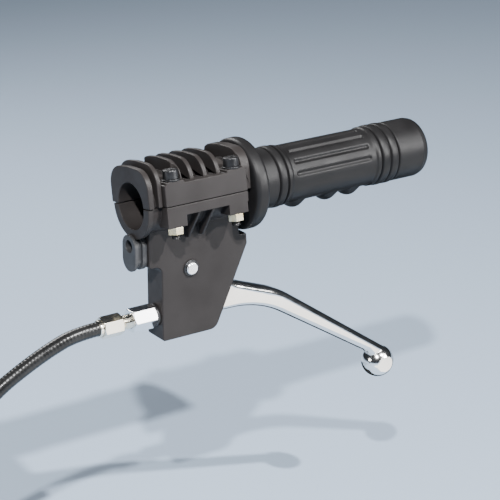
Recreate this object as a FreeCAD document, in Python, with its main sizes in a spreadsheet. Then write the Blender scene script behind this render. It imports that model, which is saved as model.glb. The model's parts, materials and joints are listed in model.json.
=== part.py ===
import FreeCAD, Part
import math
import os
from FreeCAD import Placement, Rotation, Vector

# Cable-operated hand brake lever with its clamp, grip and brake cable, in millimetres.
# X runs along the handlebar towards the grip's free end, Z up, away from the lever, and
# -Y towards the front. The origin is on the handlebar's axis, in the middle of the clamp.
# The clamp's joint leans by clamp_tilt about the handlebar, so clamp pieces are drawn
# upright first and turned afterwards.

doc = FreeCAD.newDocument("brake_lever")
sheet = doc.addObject("Spreadsheet::Sheet", "sizes")

DRIVING_SIZES = {
    "handlebar and clamp": {
        "bar_radius": 12.7, "clamp_tilt": -9.0, "clamp_left": -34.5, "clamp_right": 29.8,
        "core_radius": 16.4, "joint_gap": 0.4, "flange_half_long": 25.6,
        "flange_half_wide": 22.0, "cap_flange_top": 11.7, "body_flange_deep": 5.8,
        "boss_deep": 11.5, "boss_long": 12.0, "boss_wide": 9.4, "pad_long": 11.2, "pad_wide": 9.8,
        "pad_top": 13.2, "rib_thick": 1.4, "fin_half_wide": 19.4, "fin_top": 23.4,
        "fin_corner": 11.0, "collar_top": 21.4,
    },
    "clamp fasteners": {
        "bolt_x": 19.0, "bolt_y": 17.8, "bolt_radius": 2.5, "bolt_hole_radius": 2.75,
        "bolt_long": 32.0, "head_radius": 4.25, "head_high": 5.0, "socket_across": 4.0,
        "socket_deep": 2.6, "washer_radius": 5.0, "washer_thick": 1.0, "nut_across": 8.0,
        "nut_high": 4.0,
    },
    "lever housing": {
        "slab_thick": 16.0, "slab_left": -28.5, "slab_step": -20.5, "step_z": -34.6,
        "slab_bottom": -78.4, "slab_top": -12.9, "slot_wide": 10.6, "slot_left": -14.9,
        "slot_top": -26.4, "slot_floor": -75.4,
    },
    "lever": {
        "pivot_x": -2.5, "pivot_z": -39.0, "pin_radius": 3.5, "pin_front": -10.4,
        "pin_back": 10.6, "clip_radius": 4.6, "clip_thick": 0.9, "bush_radius": 5.0,
        "bush_bore": 3.55, "lever_thick": 10.0, "lever_round": 3.8, "ball_radius": 9.6,
        "ball_x": 133.0, "ball_z": -129.5, "ball_flat": 8.4,
    },
    "cable end in the lever": {
        "nipple_x": -8.7, "nipple_radius": 3.0, "nipple_long": 9.0, "nipple_bore": 3.06,
        "wire_radius": 0.8, "wire_end": -51.0, "wire_slot": 2.8,
    },
    "cable adjuster": {
        "cable_z": -65.0, "seal_radius": 6.2, "seal_thick": 1.8, "sleeve_across": 12.0,
        "sleeve_long": 14.5, "barrel_across": 11.0, "barrel_left": -55.0,
        "barrel_right": -42.8, "thread_radius": 4.0, "stub_right": -15.6,
        "barrel_bore": 2.2, "ferrule_radius": 4.6, "ferrule_left": -57.0,
        "ferrule_deep": 8.0, "thread_gap": 0.05, "sleeve_turn": 30.0, "barrel_turn": -12.0,
    },
    "brake cable": {
        "cable_radius": 4.0, "coil_radius": 46.0, "coil_x": -190.0, "coil_z": -140.0,
        "coil_turns": 3, "coil_pitch": 8.4, "tail_long": 30.0, "end_ferrule_long": 14.0,
        "end_wire_long": 30.0, "tie_wide": 4.6, "tie_thick": 1.2,
    },
    "side grommet": {
        "grommet_z": -26.2, "grommet_face": -36.4, "grommet_wide": 13.4,
        "grommet_high": 20.6, "grommet_rim": 1.8, "grommet_neck": 3.0,
        "grommet_hole": 3.4, "grommet_hole_z": -22.2, "stem_radius": 4.6, "stem_long": 4.0,
    },
    "grip": {
        "grip_left": 30.0, "grip_right": 155.5, "grip_radius": 17.0,
        "grip_waist": 16.3, "grip_flange_radius": 25.5, "grip_flange_thick": 8.5,
        "grip_bore_radius": 12.5, "grip_bore_end": 150.0, "ring_deep": 1.1, "ring_wide": 1.8,
        "flute_deep": 1.1, "flute_wide": 2.2, "flute_left": 62.5, "flute_right": 113.7,
        "flute_step": 24.6, "flute_first": 15.0, "bump_long": 14.8, "bump_wide": 19.0,
        "bump_high": 19.2, "bump_drop": 10.6,
    },
}

row = 1
for heading, sizes in DRIVING_SIZES.items():
    sheet.set(f"A{row}", heading)
    row += 1
    for alias, value in sizes.items():
        sheet.set(f"A{row}", alias.replace("_", " "))
        sheet.set(f"B{row}", str(value))
        sheet.setAlias(f"B{row}", alias)
        row += 1
doc.recompute()


def size(alias):
    return float(sheet.get(alias))


# ---- small helpers -----------------------------------------------------------------

UPRIGHT = Rotation(Vector(1, 0, 0), 90)           # drawn flat, stood up facing -Y
ACROSS = Rotation(Vector(1, 1, 1), 120)           # drawn in Y and Z, facing +X
ALONG_X = Rotation(Vector(0, 1, 0), 90)           # a cylinder's axis laid along +X
TILT = Placement(Vector(), Rotation(Vector(1, 0, 0), size("clamp_tilt")))


def add(kind, name, at=(0, 0, 0), turn=Rotation(), **bound):
    """A primitive whose sizes follow the sheet: each keyword is a property's formula."""
    thing = doc.addObject(kind, name)
    for prop, formula in bound.items():
        thing.setExpression(prop, formula)
    thing.Placement = Placement(Vector(*at), turn)
    return thing


def box(name, long, wide, high, at):
    return add("Part::Box", name, at, Length=long, Width=wide, Height=high)


def cylinder(name, radius, high, at, turn=Rotation()):
    return add("Part::Cylinder", name, at, turn, Radius=radius, Height=high)


def hexagon(name, across, high, at, turn=Rotation()):
    prism = add("Part::Prism", name, at, turn, Height=high,
                Circumradius=f"({across}) / 2 / cos(30 deg)")
    prism.Polygon = 6
    return prism


def fuse(name, *things):
    joined = doc.addObject("Part::MultiFuse", name)
    joined.Shapes = list(things)
    joined.Refine = True
    return joined


def cut(name, base, *tools):
    carved = doc.addObject("Part::Cut", name)
    carved.Base = base
    carved.Tool = tools[0] if len(tools) == 1 else fuse(name + "_tools", *tools)
    carved.Refine = True
    return carved


def rounded_outline(corners):
    """Lines and tangent arcs round a closed outline of (x, y, corner radius)."""
    ends, arcs, count = [], [], len(corners)
    for index, (x, y, radius) in enumerate(corners):
        here = Vector(x, y, 0)
        before = Vector(*corners[index - 1][:2], 0) - here
        after = Vector(*corners[(index + 1) % count][:2], 0) - here
        if not radius:
            ends.append((here, here))
            arcs.append(None)
            continue
        before.normalize()
        after.normalize()
        half = before.getAngle(after) / 2
        reach = radius / math.tan(half)
        middle = (before + after).normalize() * (radius / math.sin(half) - radius)
        first, last = here + before * reach, here + after * reach
        ends.append((first, last))
        arcs.append(Part.Arc(first, here + middle, last))
    edges = []
    for index, arc in enumerate(arcs):
        if arc:
            edges.append(arc)
        start, stop = ends[index][1], ends[(index + 1) % count][0]
        if start.distanceToPoint(stop) > 1e-6:
            edges.append(Part.LineSegment(start, stop))
    return edges


def plate(name, corners, thick, at=(0, 0, 0), turn=UPRIGHT, middle=True):
    """A flat plate of a rounded outline, thick across its middle plane."""
    sketch = doc.addObject("Sketcher::SketchObject", name + "_outline")
    sketch.addGeometry(rounded_outline(corners), False)
    sketch.Placement = Placement(Vector(*at), turn)
    raised = doc.addObject("Part::Extrusion", name)
    raised.Base = sketch
    raised.DirMode = "Normal"
    raised.Solid = True
    raised.Symmetric = middle
    raised.setExpression("LengthFwd", thick)
    return raised


def round_edges(name, base, radius, wanted):
    """Fillets every edge of base that wanted(edge) picks."""
    doc.recompute()
    softened = doc.addObject("Part::Fillet", name)
    softened.Base = base
    softened.Edges = [
        (number, radius, radius)
        for number, edge in enumerate(base.Shape.Edges, 1)
        if wanted(edge)
    ]
    return softened


def turned(name, profile, at=(0, 0, 0), turn=Rotation()):
    """A turned piece: a body that revolves (radius, height) points about its own axis."""
    body = doc.addObject("PartDesign::Body", name)
    plane = next(p for p in body.Origin.OriginFeatures if p.Role == "XZ_Plane")
    sketch = body.newObject("Sketcher::SketchObject", name + "_profile")
    sketch.AttachmentSupport = [(plane, "")]
    sketch.MapMode = "FlatFace"
    points = [Vector(x, z, 0) for x, z in profile]
    sketch.addGeometry(
        [Part.LineSegment(a, b) for a, b in zip(points, points[1:] + points[:1])], False
    )
    spun = body.newObject("PartDesign::Revolution", name + "_turning")
    spun.Profile = sketch
    spun.ReferenceAxis = (sketch, ["V_Axis"])
    spun.Angle = 360.0
    body.Tip = spun
    body.Placement = Placement(Vector(*at), turn)
    return body


parts = []


def keep(thing, label):
    thing.Label = label
    parts.append(thing)
    return thing


# ---- clamp: finned cap above, flanged saddle of the housing below --------------------

left, right = size("clamp_left"), size("clamp_right")
half_long, half_wide = size("flange_half_long"), size("flange_half_wide")
gap = size("joint_gap") / 2
FINS = [(-27.4, 2.6), (-14.6, 2.6), (-7.0, 2.6), (1.4, 2.6), (9.6, 2.6), (26.6, 6.2)]
SIDES = (-1, 1)


def clamp_bolt_places():
    return [
        (x * size("bolt_x"), y * size("bolt_y")) for y in SIDES for x in SIDES
    ]


def fin_corners(top):
    wide, corner = size("fin_half_wide"), size("fin_corner")
    return [(-wide, gap, 0), (wide, gap, 0), (wide, top - 1.2, corner), (0, top + 0.2, 40),
            (-wide, top - 1.2, corner)]


def clamp_cap():
    flange = box("cap_flange", "2 * sizes.flange_half_long", "2 * sizes.flange_half_wide",
                 "sizes.cap_flange_top - sizes.joint_gap / 2", (-half_long, -half_wide, gap))
    core = add("Part::Cylinder", "cap_core", (left, 0, 0), ALONG_X,
               Radius="sizes.core_radius", Height="sizes.clamp_right - sizes.clamp_left")
    pieces = [flange, core]
    for number, (x, thick) in enumerate(FINS, 1):
        fin = plate(f"fin_{number}", fin_corners(size("fin_top")), f"{thick}", (x, 0, 0),
                    ACROSS)
        pieces.append(fin)
    collar = plate("collar", fin_corners(size("collar_top")), "3.2", (left + 1.6, 0, 0), ACROSS)
    pieces.append(collar)
    for number, (x, y) in enumerate(clamp_bolt_places(), 1):
        pad_y = -half_wide if y < 0 else half_wide - size("pad_wide")
        pieces.append(box(f"pad_{number}", "sizes.pad_long", "sizes.pad_wide", "sizes.pad_top - 4",
                          (x - size("pad_long") / 2, pad_y, 4)))
    below = box("below_joint", "90", "60", "30", (-45, -30, gap - 30))
    tools = [below, bar_bore("cap_bore")] + bolt_holes("cap")
    for number, (x, y) in enumerate(clamp_bolt_places(), 1):
        tools.append(cylinder(f"head_room_{number}", "sizes.washer_radius + 0.4", "14",
                              (x, y, size("pad_top"))))
    return cut("cap", fuse("cap_blank", *pieces), *tools)


def bar_bore(name):
    return cylinder(name, "sizes.bar_radius", "90", (-45, 0, 0), ALONG_X)


def bolt_holes(name):
    return [
        cylinder(f"{name}_hole_{number}", "sizes.bolt_hole_radius", "60", (x, y, -30))
        for number, (x, y) in enumerate(clamp_bolt_places(), 1)
    ]


def clamp_saddle():
    """Lower half of the clamp, before the housing's slab joins it."""
    core = add("Part::Cylinder", "saddle_core", (left, 0, 0), ALONG_X,
               Radius="sizes.core_radius", Height="sizes.clamp_right - sizes.clamp_left")
    lip = add("Part::Cylinder", "saddle_lip", (left, 0, 0), ALONG_X,
              Radius="sizes.core_radius + 1.6", Height="3.2")
    flange = box("saddle_flange", "2 * sizes.flange_half_long", "2 * sizes.flange_half_wide",
                 "sizes.body_flange_deep - sizes.joint_gap / 2",
                 (-half_long, -half_wide, -size("body_flange_deep")))
    pieces = [core, lip, flange]
    for number, (x, y) in enumerate(clamp_bolt_places(), 1):
        x_start = x - size("boss_long") / 2 if x > 0 else -half_long
        y_start = -half_wide if y < 0 else half_wide - size("boss_wide")
        x_long = min(size("boss_long"), half_long - abs(x) + size("boss_long") / 2)
        pieces.append(box(f"boss_{number}", f"{x_long}", "sizes.boss_wide",
                          "sizes.boss_deep - 1", (x_start, y_start, -size("boss_deep"))))
    for number, x in enumerate((-5.4, 3.4), 1):
        reach = half_wide - 0.9
        web = [(-reach, -2, 0), (-reach, -6.6, 0), (-8, -21.5, 0), (8, -21.5, 0),
               (reach, -6.6, 0), (reach, -2, 0)]
        pieces.append(plate(f"web_{number}", web, "sizes.rib_thick", (x, 0, 0), ACROSS))
    above = box("above_joint", "90", "60", "30", (-45, -30, -gap))
    saddle = cut("saddle", fuse("saddle_blank", *pieces), above, *bolt_holes("saddle"))
    saddle.Placement = TILT
    return saddle


# ---- lever housing -------------------------------------------------------------------

def housing():
    bottom, top = size("slab_bottom"), size("slab_top")
    slab = plate("slab", [
        (size("slab_left"), top, 0), (size("slab_left"), size("step_z"), 1.2),
        (size("slab_step"), size("step_z") - 0.6, 4.0), (size("slab_step"), bottom, 1.5),
        (13.9, bottom, 6.0), (34.5, -32.4, 2.5), (34.0, -26.4, 1.0), (29.0, -26.4, 1.5),
        (29.0, top, 0),
    ], "sizes.slab_thick")
    soft = round_edges("slab_soft", slab, 0.7, lambda edge: is_slab_rim(edge))
    blank = fuse("housing_blank", clamp_saddle(), soft)
    slot = plate("lever_slot", [
        (size("slot_left"), size("slot_floor"), 1.5), (size("slot_left"), size("slot_top"), 5.0),
        (7.0, size("slot_top"), 8.0), (44.0, -38.4, 0), (44.0, -90.0, 0), (4.0, -90.0, 0),
        (4.0, size("slot_floor"), 1.5),
    ], "sizes.slot_wide")
    pin_hole = cylinder("pin_hole", "sizes.pin_radius", "40",
                        (size("pivot_x"), 20, size("pivot_z")), UPRIGHT)
    cable_hole = cylinder("cable_hole", "sizes.thread_radius + sizes.thread_gap", "12",
                          (size("slot_left") + 2, 0, size("cable_z")), ALONG_X * Rotation(
                              Vector(1, 0, 0), 180))
    stem_hole = cylinder("stem_hole", "sizes.stem_radius", "sizes.stem_long",
                         (size("slab_left"), 0, size("grommet_hole_z")), ALONG_X)
    return cut("housing", blank, bar_bore("saddle_bore"), slot, pin_hole, cable_hole, stem_hole)


def is_slab_rim(edge):
    """Long outline edges of the slab's two faces, below the clamp."""
    box_of = edge.BoundBox
    flat = box_of.YLength < 1e-6
    return flat and box_of.ZMin < size("slab_top") - 12 and box_of.ZMax < -20


# ---- lever ---------------------------------------------------------------------------

def lever():
    x, z = size("pivot_x"), size("pivot_z")
    boss = 8.6
    blade = plate("lever_blade", [
        (x - boss, z + boss, 8.5), (x + boss, z + boss, 8.5), (28.0, -55.0, 14.0),
        (59.8, -66.8, 70.0), (140.0, -123.2, 5.0), (133.5, -133.0, 3.0), (123.0, -120.6, 3.0),
        (45.5, -71.5, 65.0), (size("nipple_x") + 2, -70.6, 6.0),
        (size("nipple_x") - 5.0, -70.0, 4.9),
    ], "sizes.lever_thick")
    soft = round_edges("blade_soft", blade, size("lever_round"),
                       lambda edge: edge.BoundBox.YLength < 1e-6)
    ball = add("Part::Sphere", "lever_ball", (size("ball_x"), 0, size("ball_z")),
               Radius="sizes.ball_radius")
    front = box("ball_front", "30", "10", "30",
                (size("ball_x") - 15, -size("ball_flat") - 10, size("ball_z") - 15))
    back = box("ball_back", "30", "10", "30",
               (size("ball_x") - 15, size("ball_flat"), size("ball_z") - 15))
    bush_hole = cylinder("bush_hole", "sizes.bush_radius", "20", (x, 10, z), UPRIGHT)
    nipple_hole = cylinder("nipple_hole", "sizes.nipple_bore", "20",
                           (size("nipple_x"), 10, size("cable_z")), UPRIGHT)
    nx, nz = size("nipple_x"), size("cable_z")
    wire_slot = plate("wire_slot", [
        (nx, nz - 1.8, 0), (nx - 12, nz - 1.8, 0), (nx - 12, nz + 8.4, 0), (nx - 0.4, nz + 2.0, 0),
    ], "sizes.wire_slot")
    return cut("lever_casting", fuse("lever_blank", soft, ball), front, back, bush_hole,
               nipple_hole, wire_slot)


def ring_profile(inner, outer, low, high, soften=0.2):
    return [(inner, low), (outer - soften, low), (outer, low + soften),
            (outer, high - soften), (outer - soften, high), (inner, high)]


def pivot_pieces():
    x, z = size("pivot_x"), size("pivot_z")
    pin, long = size("pin_radius"), size("pin_back") - size("pin_front")
    half = size("slab_thick") / 2
    keep(turned("pin", [(0, 0), (pin, 0), (pin, long - 0.5), (pin - 0.5, long), (0, long)],
                (x, size("pin_back"), z), UPRIGHT), "pivot_pin")
    clip = ring_profile(pin, size("clip_radius"), 0, size("clip_thick"))
    keep(turned("front_clip", clip, (x, -half, z), UPRIGHT), "pivot_clip_front")
    keep(turned("back_clip", clip, (x, half + size("clip_thick"), z), UPRIGHT),
         "pivot_clip_back")
    bush_long = size("lever_thick")
    keep(turned("bush", ring_profile(size("bush_bore"), size("bush_radius"), 0, bush_long, 0.01),
                (x, bush_long / 2, z), UPRIGHT), "lever_bush")


# ---- clamp fasteners -----------------------------------------------------------------

def clamp_fasteners():
    seat = size("pad_top") + size("washer_thick")
    for number, (x, y) in enumerate(clamp_bolt_places(), 1):
        radius, head, high = size("bolt_radius"), size("head_radius"), size("head_high")
        blank = turned(f"bolt_blank_{number}", [
            (0, -size("bolt_long")), (radius - 0.6, -size("bolt_long")),
            (radius, 0.6 - size("bolt_long")), (radius, 0), (head, 0), (head, high - 0.5),
            (head - 0.5, high), (0, high)])
        socket = hexagon(f"socket_{number}", "sizes.socket_across", "sizes.socket_deep",
                         (0, 0, high - size("socket_deep")))
        bolt = cut(f"bolt_{number}", blank, socket)
        washer = turned(f"washer_{number}", ring_profile(
            size("bolt_hole_radius"), size("washer_radius"), 0, size("washer_thick")))
        nut_blank = hexagon(f"nut_blank_{number}", "sizes.nut_across", "sizes.nut_high",
                            (0, 0, 0))
        nut_hole = cylinder(f"nut_hole_{number}", "sizes.bolt_radius", "sizes.nut_high",
                            (0, 0, 0))
        nut = cut(f"nut_{number}", nut_blank, nut_hole)
        for thing, height, label in (
            (bolt, seat, "clamp_bolt"), (washer, size("pad_top"), "clamp_washer"),
            (nut, -size("boss_deep") - size("nut_high"), "clamp_nut"),
        ):
            thing.Placement = TILT * Placement(Vector(x, y, height), Rotation())
            keep(thing, f"{label}_{number}")


# ---- cable adjuster and the wire inside it ---------------------------------------------

def cable_axis(x):
    return (x, 0, size("cable_z"))


def adjuster():
    wall, thread = size("slab_step"), size("thread_radius")
    seal_left = wall - size("seal_thick")
    sleeve_left = seal_left - size("sleeve_long")
    bore = thread + size("thread_gap")
    keep(turned("seal", ring_profile(bore, size("seal_radius"), 0, size("seal_thick"), 0.3),
                cable_axis(seal_left), ALONG_X), "adjuster_washer")

    def hex_prism(name, across, long, x, turn):
        return hexagon(name, across, long, cable_axis(x),
                       ALONG_X * Rotation(Vector(0, 0, 1), turn))

    sleeve = hex_prism("sleeve_prism", "sizes.sleeve_across", "sizes.sleeve_long", sleeve_left,
                       size("sleeve_turn"))
    chamfer = turned("sleeve_turning", chamfered(6.7, size("sleeve_long")),
                     cable_axis(sleeve_left), ALONG_X)
    shaped = doc.addObject("Part::MultiCommon", "sleeve_shaped")
    shaped.Shapes = [sleeve, chamfer]
    hole = cylinder("sleeve_bore", "sizes.thread_radius + sizes.thread_gap",
                    "sizes.sleeve_long", cable_axis(sleeve_left), ALONG_X)
    keep(cut("sleeve_nut", shaped, hole), "adjuster_sleeve_nut")

    barrel_left, barrel_right = size("barrel_left"), size("barrel_right")
    head = hex_prism("barrel_prism", "sizes.barrel_across",
                     "sizes.barrel_right - sizes.barrel_left", barrel_left, size("barrel_turn"))
    head_turning = turned("barrel_turning", chamfered(6.2, barrel_right - barrel_left),
                          cable_axis(barrel_left), ALONG_X)
    head_shaped = doc.addObject("Part::MultiCommon", "barrel_shaped")
    head_shaped.Shapes = [head, head_turning]
    stub = cylinder("barrel_stub", "sizes.thread_radius", "sizes.stub_right - sizes.barrel_right",
                    cable_axis(barrel_right), ALONG_X)
    through = cylinder("barrel_through", "sizes.barrel_bore", "60", cable_axis(-60), ALONG_X)
    seat = cylinder("barrel_seat", "sizes.ferrule_radius + sizes.thread_gap",
                    "sizes.ferrule_deep + 1", cable_axis(barrel_left - 1), ALONG_X)
    keep(cut("barrel", fuse("barrel_blank", head_shaped, stub), through, seat),
         "adjuster_barrel")

    ferrule_left = size("ferrule_left")
    seat_end = barrel_left + size("ferrule_deep")
    keep(turned("ferrule", ring_profile(size("barrel_bore"), size("ferrule_radius"), 0,
                                        seat_end - ferrule_left, 0.4),
                cable_axis(ferrule_left), ALONG_X), "cable_ferrule")

    nipple_x, half = size("nipple_x"), size("nipple_long") / 2
    radius = size("nipple_radius")
    keep(turned("nipple", [(0, 0), (radius - 0.3, 0), (radius, 0.3), (radius, 2 * half - 0.3),
                           (radius - 0.3, 2 * half), (0, 2 * half)],
                (nipple_x, half, size("cable_z")), UPRIGHT), "cable_nipple")
    keep(cylinder("wire", "sizes.wire_radius", "sizes.nipple_x - 2.5 - sizes.wire_end",
                  cable_axis(size("wire_end")), ALONG_X), "inner_wire")


def chamfered(corner, long, bevel=0.9):
    return [(0, 0), (corner - bevel, 0), (corner + 0.4, bevel), (corner + 0.4, long - bevel),
            (corner - bevel, long), (0, long)]


# ---- brake cable ---------------------------------------------------------------------

# Where the cable runs free, from the ferrule to the coil's first turn.
CABLE_ROUTE = [
    (-57.3, 0.0, -65.0), (-71.0, 0.0, -65.2), (-86.0, 0.0, -70.0), (-101.0, 0.0, -76.6),
    (-117.0, 0.0, -84.9), (-131.0, 0.0, -96.5), (-140.0, 0.0, -111.5), (-143.6, 0.0, -128.5),
    (-144.0, 0.0, -140.0),
]


def cable_path(route):
    """Straight runs joined by tangent arcs, each as large as its two runs allow."""
    points = [Vector(*point) for point in route]
    edges, radii, start = [], [], points[0]
    for before, here, after in zip(points, points[1:], points[2:]):
        back, on = before - here, after - here
        shorter = min(back.Length, on.Length)
        half_turn = (math.pi - back.getAngle(on)) / 2
        radius = 0.45 * shorter / math.tan(half_turn)
        back.normalize()
        on.normalize()
        first, last = here + back * 0.45 * shorter, here + on * 0.45 * shorter
        inward = (back + on).normalize() * (radius / math.cos(half_turn) - radius)
        edges.append(Part.LineSegment(start, first).toShape())
        edges.append(Part.Arc(first, here + inward, last).toShape())
        radii.append(radius)
        start = last
    edges.append(Part.LineSegment(start, points[-1]).toShape())
    return Part.Wire(edges), radii


def brake_cable():
    path, radii = cable_path(CABLE_ROUTE)
    radius = size("cable_radius")
    start = Vector(*CABLE_ROUTE[0])
    heading = Vector(*CABLE_ROUTE[1]) - start
    section = Part.Wire([Part.Circle(start, heading, radius).toShape()])
    tube = doc.addObject("Part::Feature", "cable_tube")
    tube.Shape = path.makePipeShell([section], True, False)
    expected = math.pi * radius ** 2 * path.Length
    print("cable radii", [round(value, 1) for value in radii], "length", round(path.Length, 1),
          "volume ratio", round(tube.Shape.Volume / expected, 4))
    keep(tube, "brake_cable")

    x, z, pitch = size("coil_x"), size("coil_z"), size("coil_pitch")
    wide = size("coil_turns") * pitch + 2 * radius
    big, small = size("coil_radius") + radius + 0.2, size("coil_radius") - radius - 0.2
    coil = turned("coil", ring_profile(small, big, 0, wide, 2.5), (x, wide - radius, z), UPRIGHT)
    keep(coil, "cable_coil")
    for number, angle in enumerate((75, 205), 1):
        keep(coil_tie(number, angle, small, big, wide), f"cable_tie_{number}")

    end_x, end_y = x + size("coil_radius"), size("coil_turns") * pitch
    tail_z = z - size("tail_long")
    ferrule_z = tail_z - size("end_ferrule_long")
    wire_z = ferrule_z - size("end_wire_long")
    keep(cylinder("tail", "sizes.cable_radius", "sizes.tail_long", (end_x, end_y, tail_z)),
         "cable_tail")
    wire_bore = size("wire_radius") + size("thread_gap")
    keep(turned("far_ferrule", ring_profile(wire_bore, size("ferrule_radius"), 0,
                                            size("end_ferrule_long"), 0.5),
                (end_x, end_y, ferrule_z)), "end_ferrule")
    # The wire starts only just inside the ferrule, so that it can be pulled 13 mm further in.
    keep(cylinder("far_wire", "sizes.wire_radius", "sizes.end_wire_long + 0.8",
                  (end_x, end_y, wire_z)), "end_wire")
    half = size("nipple_long") / 2
    keep(cylinder("far_nipple", "sizes.nipple_radius", "sizes.nipple_long",
                  (end_x, end_y + half, wire_z - 1.5), UPRIGHT), "end_nipple")


def coil_tie(number, angle, small, big, wide):
    """A band round the coil's whole section, at this angle round the coil."""
    thick = size("tie_thick")
    outer = box(f"tie_outer_{number}", f"{big - small + 2 * thick}", f"{wide + 2 * thick}",
                "sizes.tie_wide", (small - thick, -size("cable_radius") - thick, 0))
    inner = box(f"tie_inner_{number}", f"{big - small}", f"{wide}", "sizes.tie_wide",
                (small, -size("cable_radius"), 0))
    band = cut(f"tie_{number}", outer, inner)
    middle = Placement(Vector(0, 0, -size("tie_wide") / 2), Rotation())
    place = Placement(Vector(size("coil_x"), 0, size("coil_z")),
                      Rotation(Vector(0, -1, 0), angle))
    band.Placement = place * middle
    return band


# ---- side grommet and grip -----------------------------------------------------------

def side_grommet():
    face, z = size("grommet_face"), size("grommet_z")

    def oval(name, shrink, x, thick):
        half_w, half_h = size("grommet_wide") / 2 - shrink, size("grommet_high") / 2 - shrink
        corners = [(-half_w, -half_h, half_w - 0.01), (half_w, -half_h, half_w - 0.01),
                   (half_w, half_h, half_w - 0.01), (-half_w, half_h, half_w - 0.01)]
        return plate(name, corners, f"{thick}", (x, 0, z), ACROSS, middle=False)

    rim, neck = size("grommet_rim"), size("grommet_neck")
    base_x = face + rim + neck
    solid = fuse("grommet_blank", oval("grommet_rim_plate", 0, face, rim),
                 oval("grommet_neck_plate", 1.7, face + rim, neck),
                 oval("grommet_base_plate", 0.3, base_x, size("slab_left") - base_x),
                 cylinder("grommet_stem", "sizes.stem_radius", "sizes.stem_long",
                          (size("slab_left"), 0, size("grommet_hole_z")), ALONG_X))
    hole = cylinder("grommet_bore", "sizes.grommet_hole", "20",
                    (face - 1, 0, size("grommet_hole_z")), ALONG_X)
    keep(cut("grommet", solid, hole), "side_grommet")


RING_PLACES = (50.7, 56.2, 120.8, 126.8, 132.6)
BUMP_PLACES = (69.2, 91.6, 107.1)


def grip_profile():
    """Half section of the grip as (radius, distance along the bar)."""
    start, end = size("grip_left"), size("grip_right")
    bore, outer, waist = size("grip_bore_radius"), size("grip_radius"), size("grip_waist")
    flange, flange_end = size("grip_flange_radius"), start + size("grip_flange_thick")
    deep, wide = size("ring_deep"), size("ring_wide")
    points = [(bore, start), (flange - 2.6, start), (flange - 0.7, start + 0.9),
              (flange, start + 3.0), (flange, flange_end - 3.2), (flange - 1.2, flange_end - 0.9),
              (flange - 3.4, flange_end), (outer + 1.2, flange_end), (outer, flange_end + 1.4)]
    for x in RING_PLACES:
        points += [(outer, x - wide / 2), (outer - deep, x - wide / 2 + 0.5),
                   (outer - deep, x + wide / 2 - 0.5), (outer, x + wide / 2)]
        if x == RING_PLACES[1]:      # the slimmer stretch that the flutes are cut in
            points += [(outer, x + 3.6), (waist, x + 4.8), (waist, RING_PLACES[2] - 4.8),
                       (outer, RING_PLACES[2] - 3.6)]
    steps, corner = 5, 5.0
    for step in range(steps + 1):
        angle = math.radians(90 * step / steps)
        points.append((outer - 0.4 - corner * (1 - math.cos(angle)),
                       end - corner * (1 - math.sin(angle))))
    points += [(0, end), (0, size("grip_bore_end")), (bore, size("grip_bore_end"))]
    return points


def grip():
    blank = turned("grip_blank", grip_profile(), (0, 0, 0), ALONG_X)
    bumps = []
    for number, x in enumerate(BUMP_PLACES, 1):
        bump = add("Part::Ellipsoid", f"bump_{number}", (x, 0, -size("bump_drop")), ALONG_X,
                   Radius1="sizes.bump_long / 2", Radius2="sizes.bump_high / 2",
                   Radius3="sizes.bump_wide / 2")
        bump.setExpression("Angle1", "-90")
        bump.setExpression("Angle2", "90")
        bumps.append(bump)
    solid = fuse("grip_fingers", blank, *bumps)
    flutes = []
    turns = [size("flute_first") + index * size("flute_step") for index in range(7)]
    for number, turn in enumerate(turns, 1):
        half = size("flute_wide") / 2
        start, stop = size("flute_left"), size("flute_right")
        corners = [(start, -half, half - 0.01), (stop, -half, half - 0.01),
                   (stop, half, half - 0.01), (start, half, half - 0.01)]
        flute = plate(f"flute_{number}", corners, "4", (0, 0, 0), Rotation(), middle=False)
        spin = Rotation(Vector(1, 0, 0), 90 - turn)
        out = spin.multVec(Vector(0, 0, size("grip_waist") - size("flute_deep")))
        flute.Base.Placement = Placement(out, spin)
        flutes.append(flute)
    bore = cylinder("grip_bore", "sizes.grip_bore_radius", "sizes.grip_bore_end - sizes.grip_left",
                    (size("grip_left"), 0, 0), ALONG_X)
    keep(cut("grip_body", solid, bore, *flutes), "grip")


# ---- make everything -----------------------------------------------------------------

cap = keep(clamp_cap(), "clamp_cap")
cap.Placement = TILT
keep(housing(), "lever_housing")
keep(lever(), "lever")
pivot_pieces()
clamp_fasteners()
adjuster()
brake_cable()
side_grommet()
grip()
doc.recompute()

for thing in doc.Objects:
    if {"Invalid", "Error"} & set(thing.State):
        raise RuntimeError(f"{thing.Name} failed: {thing.State}")
for thing in parts:
    shape = thing.Shape
    if shape.isNull() or not shape.isValid() or not shape.Solids:
        raise RuntimeError(f"{thing.Label} has no valid solid")

os.makedirs("parts", exist_ok=True)
for thing in parts:
    thing.Shape.exportStep(f"parts/{thing.Label}.step")
    bounds = thing.Shape.BoundBox
    print(f"{thing.Label:22s} solids {len(thing.Shape.Solids)} volume {thing.Shape.Volume:9.1f}",
          f"X {bounds.XMin:7.1f} {bounds.XMax:7.1f} Y {bounds.YMin:6.1f} {bounds.YMax:6.1f}",
          f"Z {bounds.ZMin:7.1f} {bounds.ZMax:7.1f}")
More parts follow.
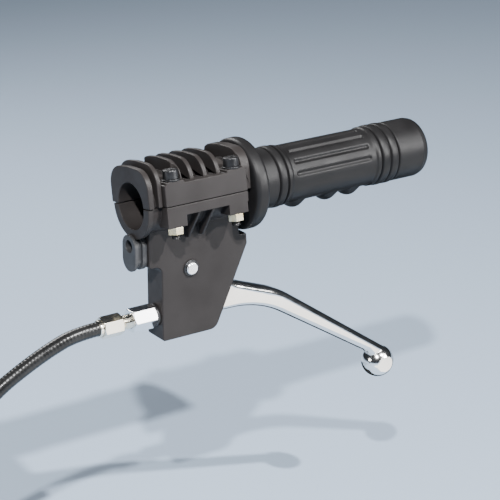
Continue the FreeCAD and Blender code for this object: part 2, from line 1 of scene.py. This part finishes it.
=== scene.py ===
import bpy
import bmesh
import json
import math
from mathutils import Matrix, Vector

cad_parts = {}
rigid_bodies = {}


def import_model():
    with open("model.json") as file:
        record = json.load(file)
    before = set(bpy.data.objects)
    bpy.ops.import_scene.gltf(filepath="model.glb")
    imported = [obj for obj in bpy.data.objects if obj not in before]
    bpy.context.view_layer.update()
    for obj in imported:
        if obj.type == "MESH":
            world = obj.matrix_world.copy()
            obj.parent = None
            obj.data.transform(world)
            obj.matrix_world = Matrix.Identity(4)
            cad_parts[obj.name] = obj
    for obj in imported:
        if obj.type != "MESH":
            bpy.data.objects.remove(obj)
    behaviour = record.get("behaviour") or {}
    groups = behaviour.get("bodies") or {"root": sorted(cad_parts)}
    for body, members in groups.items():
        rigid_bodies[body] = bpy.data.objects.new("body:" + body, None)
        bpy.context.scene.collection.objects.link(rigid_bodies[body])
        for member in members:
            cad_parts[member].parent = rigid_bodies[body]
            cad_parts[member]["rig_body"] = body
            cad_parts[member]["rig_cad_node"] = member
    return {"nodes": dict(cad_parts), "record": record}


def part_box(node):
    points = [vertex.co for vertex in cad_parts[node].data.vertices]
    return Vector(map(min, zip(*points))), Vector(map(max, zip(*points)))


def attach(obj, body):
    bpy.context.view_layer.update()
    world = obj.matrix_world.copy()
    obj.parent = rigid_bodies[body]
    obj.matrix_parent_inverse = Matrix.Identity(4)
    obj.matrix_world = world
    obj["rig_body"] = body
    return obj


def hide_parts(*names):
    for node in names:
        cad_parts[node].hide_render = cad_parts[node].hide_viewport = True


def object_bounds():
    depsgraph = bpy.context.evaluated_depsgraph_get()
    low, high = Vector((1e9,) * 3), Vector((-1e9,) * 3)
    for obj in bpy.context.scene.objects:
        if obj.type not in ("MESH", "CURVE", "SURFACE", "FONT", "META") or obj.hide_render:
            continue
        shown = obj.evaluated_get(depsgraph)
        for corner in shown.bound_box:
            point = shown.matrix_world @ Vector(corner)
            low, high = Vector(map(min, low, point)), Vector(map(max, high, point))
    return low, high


# A hand brake lever: lengths are in metres, in the frame's own axes.
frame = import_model()
cadLow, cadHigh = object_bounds()
nodes = frame["nodes"]
bodyOf = {node: body for body, names in frame["record"]["behaviour"]["bodies"].items() for node in names}
slotOf = {part["node"]: part["material_slot"] for part in frame["record"]["subparts"]}
mm = 0.001


def deselectAll():
    if bpy.context.object and bpy.context.object.mode != "OBJECT":
        bpy.ops.object.mode_set(mode="OBJECT")
    bpy.ops.object.select_all(action="DESELECT")


def pick(piece):
    deselectAll()
    piece.select_set(True)
    bpy.context.view_layer.objects.active = piece


def applyAll(piece):
    pick(piece)
    for modifier in list(piece.modifiers):
        bpy.ops.object.modifier_apply(modifier=modifier.name)


deselectAll()

camera = {"place": (-0.5543, -0.8760, 0.3551), "up": 20.48, "around": -34.23, "lens": 146.7}


def addCamera():
    bpy.ops.object.camera_add(
        location=camera["place"],
        rotation=(math.radians(90 - camera["up"]), 0, math.radians(camera["around"])))
    eye = bpy.context.object
    eye.data.lens = camera["lens"]
    eye.data.sensor_width = 36
    eye.data.clip_start, eye.data.clip_end = 0.02, 20
    bpy.context.scene.camera = eye
    print("camera in place")


cable = {
    "route": [
        (-0.0573, 0, -0.0650), (-0.0710, 0, -0.0652), (-0.0860, 0, -0.0700), (-0.1010, 0, -0.0766),
        (-0.1170, 0, -0.0849), (-0.1310, 0, -0.0965), (-0.1400, 0, -0.1115), (-0.1436, 0, -0.1285),
        (-0.1440, 0, -0.1400),
    ],
    "coilCentre": (-0.190, -0.140), "coilRadius": 0.046, "turns": 3, "pitch": 0.0084,
    "pointsPerTurn": 24, "tail": 0.030, "radius": 0.004, "length": 1.02,
    "ribPitch": 0.0021, "ribDepth": 0.00007, "ribRows": 4, "sides": 20,
}


def cableLine():  # the cable's own smooth line, as closely spaced points
    points = list(cable["route"])
    x, z = cable["coilCentre"]
    for step in range(1, cable["turns"] * cable["pointsPerTurn"] + 1):
        turn = step / cable["pointsPerTurn"]
        angle = 2 * math.pi * turn
        points.append((x + cable["coilRadius"] * math.cos(angle), cable["pitch"] * turn,
                       z - cable["coilRadius"] * math.sin(angle)))
    endX, endY = x + cable["coilRadius"], cable["pitch"] * cable["turns"]
    points += [(endX, endY, z - cable["tail"] / 2), (endX, endY, z - cable["tail"])]
    curve = bpy.data.curves.new("cableLine", "CURVE")
    curve.dimensions = "3D"
    curve.resolution_u = 24
    spline = curve.splines.new("NURBS")
    spline.points.add(len(points) - 1)
    for place, point in zip(spline.points, points):
        place.co = (*point, 1)
    spline.order_u = 3
    spline.use_endpoint_u = True
    line = bpy.data.objects.new("cableLine", curve)
    bpy.context.scene.collection.objects.link(line)
    bpy.context.view_layer.update()
    mesh = bpy.data.meshes.new_from_object(line.evaluated_get(bpy.context.evaluated_depsgraph_get()))
    dense = [vertex.co.copy() for vertex in mesh.vertices]
    bpy.data.objects.remove(line)
    bpy.data.meshes.remove(mesh)
    return dense


def evenly(points, step):
    lengths = [0]
    for before, here in zip(points, points[1:]):
        lengths.append(lengths[-1] + (here - before).length)
    count = round(lengths[-1] / step)
    spaced, index = [], 0
    for number in range(count + 1):
        along = lengths[-1] * number / count
        while index < len(points) - 2 and lengths[index + 1] < along:
            index += 1
        share = (along - lengths[index]) / max(lengths[index + 1] - lengths[index], 1e-9)
        spaced.append(points[index].lerp(points[index + 1], min(share, 1)))
    return spaced, lengths[-1]


def tubeAlong(name, points, radiusAt, sides):  # a closed round tube through the points
    made = bmesh.new()
    side = Vector((0, 1, 0))
    rings = []
    for number, point in enumerate(points):
        ahead = points[min(number + 1, len(points) - 1)] - points[max(number - 1, 0)]
        ahead.normalize()
        side = (side - ahead * side.dot(ahead)).normalized()
        across = ahead.cross(side)
        ring = []
        for corner in range(sides):
            angle = 2 * math.pi * corner / sides
            outward = side * math.cos(angle) + across * math.sin(angle)
            ring.append(made.verts.new(point + outward * radiusAt(number, angle)))
        rings.append(ring)
    for low, high in zip(rings, rings[1:]):
        for corner in range(sides):
            after = (corner + 1) % sides
            made.faces.new((low[corner], low[after], high[after], high[corner]))
    made.faces.new(list(reversed(rings[0])))
    made.faces.new(rings[-1])
    mesh = bpy.data.meshes.new(name)
    bmesh.ops.recalc_face_normals(made, faces=made.faces)
    made.to_mesh(mesh)
    made.free()
    piece = bpy.data.objects.new(name, mesh)
    bpy.context.scene.collection.objects.link(piece)
    return piece


def addCable():
    rows = cable["ribRows"]
    points, length = evenly(cableLine(), cable["ribPitch"] / rows)
    ribs = (0, 0, cable["ribDepth"], cable["ribDepth"])  # two rows on a rib, then two between ribs
    sheath = tubeAlong("cable_sheath", points, lambda number, angle: cable["radius"] - ribs[number % rows],
                       cable["sides"])
    finishPiece(sheath, "brake_cable", "brake_cable", "cable_coil", "cable_tail")
    smoothShade(sheath, 40)
    print(f"cable {length:.3f} m long")


finishes = {
    "mouldedPlastic": {
        "slots": ["black_plastic"], "colours": [(0.0190, 0.0166, 0.0160), (0.0262, 0.0233, 0.0226)],
        "patchScale": 45, "roughness": (0.36, 0.5), "scuffScale": 160, "grainScale": 2600,
        "grainDepth": 0.00005, "grainStrength": 0.25, "shine": 0.14,
    },
    "gripRubber": {
        "slots": ["grip_rubber"], "colours": [(0.0074, 0.0071, 0.0074), (0.0120, 0.0116, 0.0120)],
        "patchScale": 60, "roughness": (0.36, 0.5), "scuffScale": 90, "grainScale": 1900,
        "grainDepth": 0.00006, "grainStrength": 0.3, "shine": 0.15,
    },
    "portRubber": {
        "slots": ["black_rubber"], "colours": [(0.018, 0.018, 0.019), (0.030, 0.030, 0.032)],
        "patchScale": 80, "roughness": (0.45, 0.6), "scuffScale": 140, "grainScale": 2200,
        "grainDepth": 0.00005, "grainStrength": 0.3,
    },
    "polishedAluminium": {
        "slots": ["polished_aluminium"], "colours": [(0.80, 0.78, 0.75), (0.94, 0.93, 0.91)],
        "patchScale": 30, "roughness": (0.08, 0.16), "scuffScale": 220, "grainScale": 420,
        "grainDepth": 0.00008, "grainStrength": 0.4, "metallic": 1, "stretch": (0.06, 1, 1),
        "turn": 38,
    },
    "chromePlate": {
        "slots": ["chrome"], "colours": [(0.86, 0.87, 0.88), (0.94, 0.94, 0.95)], "patchScale": 70,
        "roughness": (0.06, 0.16), "scuffScale": 300, "grainScale": 1200, "grainDepth": 0.00001,
        "grainStrength": 0.1, "metallic": 1,
    },
    "brightNickel": {
        "slots": ["nickel"], "colours": [(0.82, 0.76, 0.64), (0.93, 0.89, 0.80)], "patchScale": 90,
        "roughness": (0.13, 0.19), "scuffScale": 260, "grainScale": 1400, "grainDepth": 0.00002,
        "grainStrength": 0.15, "metallic": 1,
    },
    "turnedSteel": {
        "slots": ["bright_steel"], "colours": [(0.80, 0.80, 0.81), (0.92, 0.92, 0.92)],
        "patchScale": 120, "roughness": (0.18, 0.32), "scuffScale": 400, "grainScale": 1500,
        "grainDepth": 0.00002, "grainStrength": 0.2, "metallic": 1,
    },
    "blackOxide": {
        "slots": ["black_steel"], "colours": [(0.016, 0.016, 0.017), (0.034, 0.034, 0.036)],
        "patchScale": 150, "roughness": (0.26, 0.4), "scuffScale": 300, "grainScale": 1800,
        "grainDepth": 0.00003, "grainStrength": 0.2, "metallic": 0.6,
    },
    "yellowZinc": {
        "slots": ["zinc"], "colours": [(0.58, 0.47, 0.26), (0.74, 0.68, 0.52)], "patchScale": 210,
        "roughness": (0.24, 0.4), "scuffScale": 350, "grainScale": 1600, "grainDepth": 0.00003,
        "grainStrength": 0.2, "metallic": 1,
    },
    "turnedBronze": {
        "slots": ["bronze"], "colours": [(0.42, 0.27, 0.12), (0.60, 0.42, 0.20)], "patchScale": 140,
        "roughness": (0.25, 0.4), "scuffScale": 300, "grainScale": 1500, "grainDepth": 0.00002,
        "grainStrength": 0.2, "metallic": 1,
    },
    "strandedSteel": {
        "slots": ["wire_steel"], "colours": [(0.48, 0.48, 0.49), (0.66, 0.66, 0.66)],
        "patchScale": 250, "roughness": (0.22, 0.38), "scuffScale": 500, "grainScale": 3000,
        "grainDepth": 0.00001, "grainStrength": 0.2, "metallic": 1,
    },
    "cableSheath": {
        "slots": ["cable_jacket"], "colours": [(0.006, 0.006, 0.006), (0.013, 0.013, 0.013)],
        "patchScale": 120, "roughness": (0.22, 0.36), "scuffScale": 260, "grainScale": 2400,
        "grainDepth": 0.00002, "grainStrength": 0.15, "shine": 0.3,
    },
    "blackNylon": {
        "slots": ["black_nylon"], "colours": [(0.010, 0.010, 0.011), (0.020, 0.020, 0.021)],
        "patchScale": 120, "roughness": (0.34, 0.46), "scuffScale": 260, "grainScale": 2400,
        "grainDepth": 0.00003, "grainStrength": 0.2,
    },
}


def addNode(tree, kind, **values):
    made = tree.nodes.new(kind)
    for name, value in values.items():
        made.inputs[name].default_value = value
    return made


def noise(tree, place, scale, detail):
    made = addNode(tree, "ShaderNodeTexNoise", Scale=scale, Detail=detail)
    tree.links.new(place, made.inputs["Vector"])
    return made.outputs["Fac"]


def makeFinish(name, facts):
    material = bpy.data.materials.new(name)
    material.use_nodes = True
    tree = material.node_tree
    shader = tree.nodes["Principled BSDF"]
    shader.inputs["Metallic"].default_value = facts.get("metallic", 0)
    shader.inputs["Specular IOR Level"].default_value = facts.get("shine", 0.5)
    place = tree.nodes.new("ShaderNodeTexCoord").outputs["Object"]
    along = tree.nodes.new("ShaderNodeMapping")  # turns the marks to run with the piece
    along.inputs["Rotation"].default_value = (0, math.radians(facts.get("turn", 0)), 0)
    along.inputs["Scale"].default_value = facts.get("stretch", (1, 1, 1))
    tree.links.new(place, along.inputs["Vector"])

    colour = tree.nodes.new("ShaderNodeValToRGB")
    stops = colour.color_ramp.elements
    stops[0].position, stops[1].position = 0.32, 0.68
    stops[0].color, stops[1].color = [(*shade, 1) for shade in facts["colours"]]
    tree.links.new(noise(tree, place, facts["patchScale"], 5), colour.inputs["Fac"])
    tree.links.new(colour.outputs["Color"], shader.inputs["Base Color"])

    rough = tree.nodes.new("ShaderNodeMapRange")
    rough.inputs["From Min"].default_value, rough.inputs["From Max"].default_value = 0.3, 0.7
    rough.inputs["To Min"].default_value, rough.inputs["To Max"].default_value = facts["roughness"]
    tree.links.new(noise(tree, along.outputs["Vector"], facts["scuffScale"], 6), rough.inputs["Value"])
    tree.links.new(rough.outputs["Result"], shader.inputs["Roughness"])

    bump = addNode(tree, "ShaderNodeBump", Strength=facts["grainStrength"], Distance=facts["grainDepth"])
    tree.links.new(noise(tree, along.outputs["Vector"], facts["grainScale"], 3), bump.inputs["Height"])
    tree.links.new(bump.outputs["Normal"], shader.inputs["Normal"])
    return material


finishOf = {}
for finishName, facts in finishes.items():
    made = makeFinish(finishName, facts)
    for slotName in facts["slots"]:
        finishOf[slotName] = made
for nodeName, cadNode in nodes.items():
    cadNode.data.materials.clear()
    cadNode.data.materials.append(finishOf[slotOf[nodeName]])
print(f"{len(finishes)} finishes made")


def finishPiece(piece, node, *replaced):  # same body as the node it stands for, and the finish of that node's slot
    piece.data.materials.clear()
    piece.data.materials.append(finishOf[slotOf[node]])
    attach(piece, bodyOf[node])
    if replaced:
        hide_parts(*replaced)


def smoothShade(piece, degrees):
    pick(piece)
    bpy.ops.object.shade_smooth_by_angle(angle=math.radians(degrees))
    deselectAll()


tie = {"head": (4.2, 6.4, 5.6), "corner": 0.35, "slot": 1.0, "slotDeep": 0.7, "band": 0.35,
       "slack": 0.2, "thick": 1.2, "sunk": 0.2, "angles": (75, 205)}  # lengths in mm, angles in degrees


def addCableTies():  # the bands, each with its ratchet head on the coil's outer side
    x, z = cable["coilCentre"]
    outside = cable["coilRadius"] + cable["radius"] + (tie["slack"] + tie["thick"]) * mm
    for number, angle in enumerate(tie["angles"], 1):
        node = f"cable_tie_{number}"
        piece = mergedCopy(node, node + "_shell")
        soften(piece, tie["band"])
        middle = (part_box(node)[0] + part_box(node)[1]) / 2
        turn = math.radians(angle)
        out = Vector((math.cos(turn), 0, math.sin(turn)))
        place = Vector((x, middle.y, z)) + out * (outside + (tie["head"][0] / 2 - tie["sunk"]) * mm)
        deselectAll()
        bpy.ops.mesh.primitive_cube_add(size=1, location=place, rotation=(0, -turn, 0))
        head = bpy.context.object
        head.name = node + "_head"
        head.scale = [side * mm for side in tie["head"]]
        bpy.ops.object.transform_apply(location=True, rotation=True, scale=True)
        bpy.ops.object.mode_set(mode="EDIT")
        bpy.ops.mesh.select_all(action="DESELECT")
        bpy.ops.object.mode_set(mode="OBJECT")
        for face in head.data.polygons:  # the strap's slot is in the head's front face
            face.select = face.normal.y < -0.9
        bpy.ops.object.mode_set(mode="EDIT")
        bpy.ops.mesh.inset(thickness=tie["slot"] * mm)
        bpy.ops.mesh.extrude_region_move(TRANSFORM_OT_translate={"value": (0, tie["slotDeep"] * mm, 0)})
        bpy.ops.object.mode_set(mode="OBJECT")
        soften(head, tie["corner"])
        joinInto(piece, head)
        finishPiece(piece, node, node)
    print("cable ties made")


softEdges = {
    "clamp_cap": 0.45, "lever_housing": 0.35, "lever": 0.25, "side_grommet": 0.35,
    "adjuster_sleeve_nut": 0.22, "cable_ferrule": 0.12, "adjuster_washer": 0.15,
    "pivot_pin": 0.15, "pivot_clip_front": 0.08, "pivot_clip_back": 0.08, "end_ferrule": 0.12,
    "end_nipple": 0.3, "cable_nipple": 0.1,
}
for corner in range(1, 5):
    softEdges[f"clamp_nut_{corner}"] = 0.22
    softEdges[f"clamp_washer_{corner}"] = 0.1


softening = {"mergeNear": 0.002, "flatDegrees": 0.6, "segments": 2, "edgeDegrees": 35, "smoothDegrees": 40,
             "faceWeight": 100}


def mergedCopy(node, name):
    piece = nodes[node].copy()
    piece.data = nodes[node].data.copy()
    piece.name = piece.data.name = name
    piece.parent = None
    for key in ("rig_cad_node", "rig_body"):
        if key in piece:
            del piece[key]
    bpy.context.scene.collection.objects.link(piece)
    pick(piece)
    bpy.ops.object.mode_set(mode="EDIT")
    bpy.ops.mesh.select_all(action="SELECT")
    bpy.ops.mesh.remove_doubles(threshold=softening["mergeNear"] * mm)
    bpy.ops.mesh.dissolve_limited(angle_limit=math.radians(softening["flatDegrees"]))
    bpy.ops.object.mode_set(mode="OBJECT")
    return piece


def soften(piece, width):
    bevel = piece.modifiers.new("edges", "BEVEL")
    bevel.width = width * mm
    bevel.segments = softening["segments"]
    bevel.limit_method = "ANGLE"
    bevel.angle_limit = math.radians(softening["edgeDegrees"])
    bevel.use_clamp_overlap = False
    applyAll(piece)
    smoothShade(piece, softening["smoothDegrees"])
    even = piece.modifiers.new("even", "WEIGHTED_NORMAL")  # keeps the flat faces flat up to their edges
    even.keep_sharp = True
    even.weight = softening["faceWeight"]
    applyAll(piece)
    deselectAll()


def addSoftenedPieces():
    for node, width in softEdges.items():
        piece = mergedCopy(node, node + "_shell")
        soften(piece, width)
        finishPiece(piece, node, node)
    print(f"{len(softEdges)} pieces with softened edges")


thread = {  # lengths in mm
    "sides": 28, "rowsPerPitch": 6, "longestRow": 0.5, "edge": 0.25,
    "boltRadius": 2.5, "boltPitch": 0.8, "boltDepth": 0.35, "boltFromNut": 1.5, "boltSpare": 0.1,
    "barrelRadius": 4.0, "barrelPitch": 1.0, "barrelDepth": 0.45, "barrelFromSleeve": 6.1, "barrelSunk": 0.5,
    "wireRadius": 0.8, "strands": 6, "strandLay": 9.0, "strandDepth": 0.16, "strandSmooth": 60,
}


def helicalRod(name, start, end, radius, pitch, depth, starts=1):  # radius, pitch and depth in mm
    rowStep = min(pitch / thread["rowsPerPitch"], thread["longestRow"]) * mm
    points, length = evenly([start, end], rowStep)

    def radiusAt(number, angle):
        turn = (number * length / (len(points) - 1) / mm / pitch + starts * angle / (2 * math.pi)) % 1
        return (radius - depth * abs(2 * turn - 1)) * mm

    return tubeAlong(name, points, radiusAt, thread["sides"])


def cutOff(piece, place, normal):  # removes what lies beyond the plane and closes the cut
    pick(piece)
    bpy.ops.object.mode_set(mode="EDIT")
    bpy.ops.mesh.select_all(action="SELECT")
    bpy.ops.mesh.bisect(plane_co=place, plane_no=normal, use_fill=True, clear_outer=True, threshold=1e-6)
    bpy.ops.object.mode_set(mode="OBJECT")


def joinInto(piece, other):
    pick(piece)
    other.select_set(True)
    bpy.ops.object.join()
    deselectAll()


def boltEndBelowNut():
    nutLow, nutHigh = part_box("clamp_nut_1")
    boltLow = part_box("clamp_bolt_1")[0]
    return (nutLow.z + nutHigh.z) / 2 - boltLow.z + thread["boltSpare"] * mm


def addBolt(corner):
    node = f"clamp_bolt_{corner}"
    piece = mergedCopy(node, node + "_shell")
    washerLow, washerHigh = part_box(f"clamp_washer_{corner}")
    nutLow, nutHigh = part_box(f"clamp_nut_{corner}")
    nut, washer = (nutLow + nutHigh) / 2, (washerLow + washerHigh) / 2
    down = (nut - washer).normalized()
    soften(piece, thread["edge"])
    shoulder = nut + down * thread["boltFromNut"] * mm
    cutOff(piece, shoulder, down)
    end = nut + down * boltEndBelowNut()
    joinInto(piece, helicalRod(node + "_thread", shoulder, end, thread["boltRadius"], thread["boltPitch"],
                               thread["boltDepth"]))
    finishPiece(piece, node, node)


def addBarrel():
    axisZ = cable["route"][0][2]
    barrel = mergedCopy("adjuster_barrel", "adjuster_barrel_shell")
    soften(barrel, thread["edge"])
    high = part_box("adjuster_barrel")[1]
    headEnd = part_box("adjuster_sleeve_nut")[0].x - thread["barrelFromSleeve"] * mm
    cutOff(barrel, (headEnd, 0, 0), (1, 0, 0))
    start = Vector((headEnd - thread["barrelSunk"] * mm, 0, axisZ))
    joinInto(barrel, helicalRod("barrel_thread", start, Vector((high.x, 0, axisZ)), thread["barrelRadius"],
                                thread["barrelPitch"], thread["barrelDepth"]))
    finishPiece(barrel, "adjuster_barrel", "adjuster_barrel")


def addStrands():
    low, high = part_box("end_wire")
    middle = (low + high) / 2
    bottom, top = Vector((middle.x, middle.y, low.z)), Vector((middle.x, middle.y, high.z))
    strands = helicalRod("end_wire_strands", bottom, top, thread["wireRadius"], thread["strandLay"],
                         thread["strandDepth"], thread["strands"])
    smoothShade(strands, thread["strandSmooth"])
    finishPiece(strands, "end_wire", "end_wire")


def addThreadedPieces():
    for corner in range(1, 5):
        addBolt(corner)
    addBarrel()
    addStrands()
    print("threads and strands made")


grip = {
    "bore": 12.5, "outer": 17.0, "waist": 16.3, "flange": 25.5, "flangeThick": 8.5, "flangeCorner": 2.6,
    "boreEnd": 150.0, "rings": (50.7, 56.2, 120.8, 126.8, 132.6), "ringDeep": 1.35, "ringHalf": 0.72,
    "crown": 0.4, "waistFrom": 60.2, "waistTo": 116.8, "endCorner": 4.6, "step": 0.34, "sides": 168,
    "fluteFrom": 62.5, "fluteTo": 113.7, "fluteStep": 24.6, "fluteTurn": 15, "fluteHalf": 1.25,
    "fluteDeep": 1.15, "bumps": (69.2, 91.6, 107.1), "bumpSize": (7.4, 9.5, 9.6), "bumpDrop": 10.6,
    "blend": 2.2, "ramp": 1.5, "widestBead": 8, "ringShape": 0.6, "fillet": 1.6, "filletOff": 0.1,
    "endShrink": 0.3, "endDip": 0.5, "endFlat": 6, "fluteEdge": (0.45, 1.15), "fluteSpan": (-12, 160),
    "wall": 1.5, "afterFlange": 3, "smooth": 60,
}


def smoothStep(value, low, high):
    share = min(max((value - low) / (high - low), 0), 1)
    return share * share * (3 - 2 * share)


def gripRadius(x):
    slim = smoothStep(x, grip["waistFrom"] - grip["ramp"], grip["waistFrom"])
    slim -= smoothStep(x, grip["waistTo"], grip["waistTo"] + grip["ramp"])
    outer = grip["outer"] - (grip["outer"] - grip["waist"]) * slim
    edges = [grip["flangeStart"], *grip["rings"]]
    for before, after in zip(edges, edges[1:]):  # each bead between two grooves is a little crowned
        if before < x < after and after - before < grip["widestBead"]:
            across = 2 * (x - before) / (after - before) - 1
            outer += grip["crown"] * (1 - across * across)
    for ring in grip["rings"]:
        near = abs(x - ring) / grip["ringHalf"]
        if near < 1:
            outer -= grip["ringDeep"] * (0.5 + 0.5 * math.cos(math.pi * near)) ** grip["ringShape"]
    return outer


def arc(radius, x, corner, fromDegrees, toDegrees, steps):  # points round a corner's centre
    turn = toDegrees - fromDegrees
    angles = [math.radians(fromDegrees + turn * step / steps) for step in range(steps + 1)]
    return [(radius + corner * math.cos(angle), x + corner * math.sin(angle)) for angle in angles]


def gripProfile():  # half section, as (radius, distance along the bar) in mm
    low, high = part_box("grip")
    start, end = low.x / mm, high.x / mm
    flangeEnd = start + grip["flangeThick"]
    grip["flangeStart"] = flangeEnd
    corner, flange, outer, fillet = grip["flangeCorner"], grip["flange"], grip["outer"], grip["fillet"]
    points = [(grip["bore"], start), (flange - corner - 2, start)]
    points += arc(flange - corner, start + corner, corner, -90, 0, 8)
    points += arc(flange - corner, flangeEnd - corner, corner, 0, 90, 8)
    points.append((outer + 2.5, flangeEnd + 0.05))
    filletX = flangeEnd + fillet + grip["filletOff"]
    points += arc(outer + fillet, filletX, fillet, 270, 180, 6)[1:]
    x = filletX + grip["filletOff"]
    while x < end - grip["endCorner"] - 0.2:
        points.append((gripRadius(x), x))
        x += grip["step"]
    corner = grip["endCorner"]
    points += arc(outer - grip["endShrink"] - corner, end - corner, corner, 0, 90, 10)
    points += [(grip["endFlat"], end - grip["endShrink"]), (0, end - grip["endDip"]),
               (0, grip["boreEnd"]), (grip["bore"], grip["boreEnd"])]
    return points


def fluteDepth(x, degrees):
    step, turned = grip["fluteStep"], degrees - grip["fluteTurn"]
    first, last = grip["fluteSpan"]
    if not first < (turned + 180) % 360 - 180 < last:
        return 0
    across = math.radians((turned + step / 2) % step - step / 2) * grip["waist"]
    past = max(grip["fluteFrom"] + grip["fluteHalf"] - x, x - grip["fluteTo"] + grip["fluteHalf"], 0)
    near = math.hypot(across, past) / grip["fluteHalf"]
    return grip["fluteDeep"] * (1 - smoothStep(near, *grip["fluteEdge"]))


def bumpRadius(x, angle):  # how far the nearest finger bump reaches in this direction
    best = 0
    for centre in grip["bumps"]:
        long, wide, deep = grip["bumpSize"]
        share = 1 - ((x - centre) / long) ** 2
        if share <= 0:
            continue
        y, z = math.cos(angle) / wide, math.sin(angle) / deep
        drop = grip["bumpDrop"] / deep
        squared, linear, rest = y * y + z * z, 2 * z * drop, drop * drop - share
        root = linear * linear - 4 * squared * rest
        if root > 0:
            best = max(best, (-linear + math.sqrt(root)) / (2 * squared))
    return best


def addGrip():
    mesh = bpy.data.meshes.new("grip_sleeve")
    profile = gripProfile()
    points = [(x * mm, 0, radius * mm) for radius, x in profile]
    edges = [(index, (index + 1) % len(points)) for index in range(len(points))]
    mesh.from_pydata(points, edges, [])
    piece = bpy.data.objects.new("grip_sleeve", mesh)
    bpy.context.scene.collection.objects.link(piece)
    pick(piece)
    bpy.ops.object.mode_set(mode="EDIT")
    bpy.ops.mesh.select_all(action="SELECT")
    bpy.ops.mesh.spin(steps=grip["sides"], angle=2 * math.pi, center=(0, 0, 0), axis=(1, 0, 0),
                      use_auto_merge=True)
    bpy.ops.mesh.select_all(action="SELECT")
    bpy.ops.mesh.remove_doubles(threshold=5e-6)
    bpy.ops.mesh.normals_make_consistent(inside=False)
    bpy.ops.object.mode_set(mode="OBJECT")
    for vertex in mesh.vertices:
        x, y, z = vertex.co / mm
        radius, angle = math.hypot(y, z), math.atan2(z, y)
        if radius < grip["bore"] + grip["wall"]:
            continue
        if not grip["flangeStart"] + grip["afterFlange"] < x < grip["boreEnd"]:
            continue
        front = math.degrees(math.atan2(z, -y))
        reached = radius - fluteDepth(x, front)
        bump = bumpRadius(x, angle)
        blend = max(grip["blend"] - abs(reached - bump), 0) / grip["blend"]
        reached = max(reached, bump) + blend * blend * grip["blend"] / 4
        vertex.co.y *= reached / radius
        vertex.co.z *= reached / radius
    finishPiece(piece, "grip", "grip")
    smoothShade(piece, grip["smooth"])
    print("grip", len(mesh.polygons))


studio = {
    "floorDrop": 0.0015, "floorSize": 14, "floor": (0.30, 0.38, 0.49),
    "sky": (0.62, 0.72, 0.86), "skyPower": 0.05,
    "floorRough": 0.8,
    "keyFar": 1.5, "keySize": 0.05, "keys": [((-3.9, 10, -11.2), 52), ((7, 10, -11.5), 46)],
    "cards": [  # place, what it faces, size, power, and whether it lights matt pieces too
        ((0.52, -0.62, 0.42), (0.00, 0.00, -0.05), 0.54, 6, False),
        ((0.46, -0.48, 0.16), (0.27, -0.26, -0.21), 0.24, 6, False),
        ((-0.90, 0.06, 0.10), (0.00, 0.00, -0.05), 0.36, 3, True),
        ((0.10, 0.80, 0.55), (0.05, 0.00, 0.00), 0.50, 9, True),
        ((0.24, -0.58, -0.08), (-0.05, 0.00, -0.065), 0.24, 0.5, False),
    ],
    "boards": [  # boards on the floor that only reflections see: place, sides and shade
        ((0.24, 0.11), (0.34, 0.18), (0.01, 0.01, 0.01)),
        ((0.25, -0.27), (0.60, 0.32), (0.80, 0.79, 0.77)),
    ],
}


def addLight(name, place, target, size, power):
    bpy.ops.object.light_add(type="AREA", location=place)
    lamp = bpy.context.object
    lamp.name = name
    lamp.rotation_euler = (Vector(target) - Vector(place)).to_track_quat("-Z", "Y").to_euler()
    lamp.data.shape = "DISK"
    lamp.data.size = size
    lamp.data.energy = power
    return lamp


def addBoard(number, place, sides, shade):  # the lever's edges mirror a dark board, its face a white one
    height = cadLow.z - studio["floorDrop"] / 2
    bpy.ops.mesh.primitive_plane_add(size=1, location=(*place, height))
    board = bpy.context.object
    board.name = f"board{number}"
    board.scale = (*sides, 1)
    bpy.ops.object.transform_apply(location=True, rotation=True, scale=True)
    card = bpy.data.materials.new(f"boardCard{number}")
    card.use_nodes = True
    shader = card.node_tree.nodes["Principled BSDF"]
    shader.inputs["Base Color"].default_value = (*shade, 1)
    shader.inputs["Specular IOR Level"].default_value = 0
    board.data.materials.append(card)
    board.visible_camera = board.visible_diffuse = board.visible_shadow = False


def addStudio():
    floorZ = cadLow.z - studio["floorDrop"]
    bpy.ops.mesh.primitive_plane_add(size=studio["floorSize"], location=(0, 0, floorZ))
    floor = bpy.context.object
    floor.name = "floor"
    paint = bpy.data.materials.new("paleFloor")
    paint.use_nodes = True
    shader = paint.node_tree.nodes["Principled BSDF"]
    shader.inputs["Base Color"].default_value = (*studio["floor"], 1)
    shader.inputs["Roughness"].default_value = studio["floorRough"]
    floor.data.materials.append(paint)
    world = bpy.data.worlds.new("studio")
    bpy.context.scene.world = world
    world.use_nodes = True
    background = world.node_tree.nodes["Background"]
    background.inputs["Color"].default_value = (*studio["sky"], 1)
    background.inputs["Strength"].default_value = studio["skyPower"]
    for number, (travel, power) in enumerate(studio["keys"], 1):
        place = -Vector(travel).normalized() * studio["keyFar"]
        addLight(f"key{number}", place, (0, 0, 0), studio["keySize"], power)
    for number, (place, target, size, power, lightsMatt) in enumerate(studio["cards"], 1):
        card = addLight(f"card{number}", place, target, size, power)
        card.visible_diffuse = lightsMatt
    for number, (place, sides, shade) in enumerate(studio["boards"], 1):
        addBoard(number, place, sides, shade)
    deselectAll()
    print("floor and lights in place")


addCamera()
addSoftenedPieces()
addThreadedPieces()
addCableTies()
addCable()
addGrip()
addStudio()
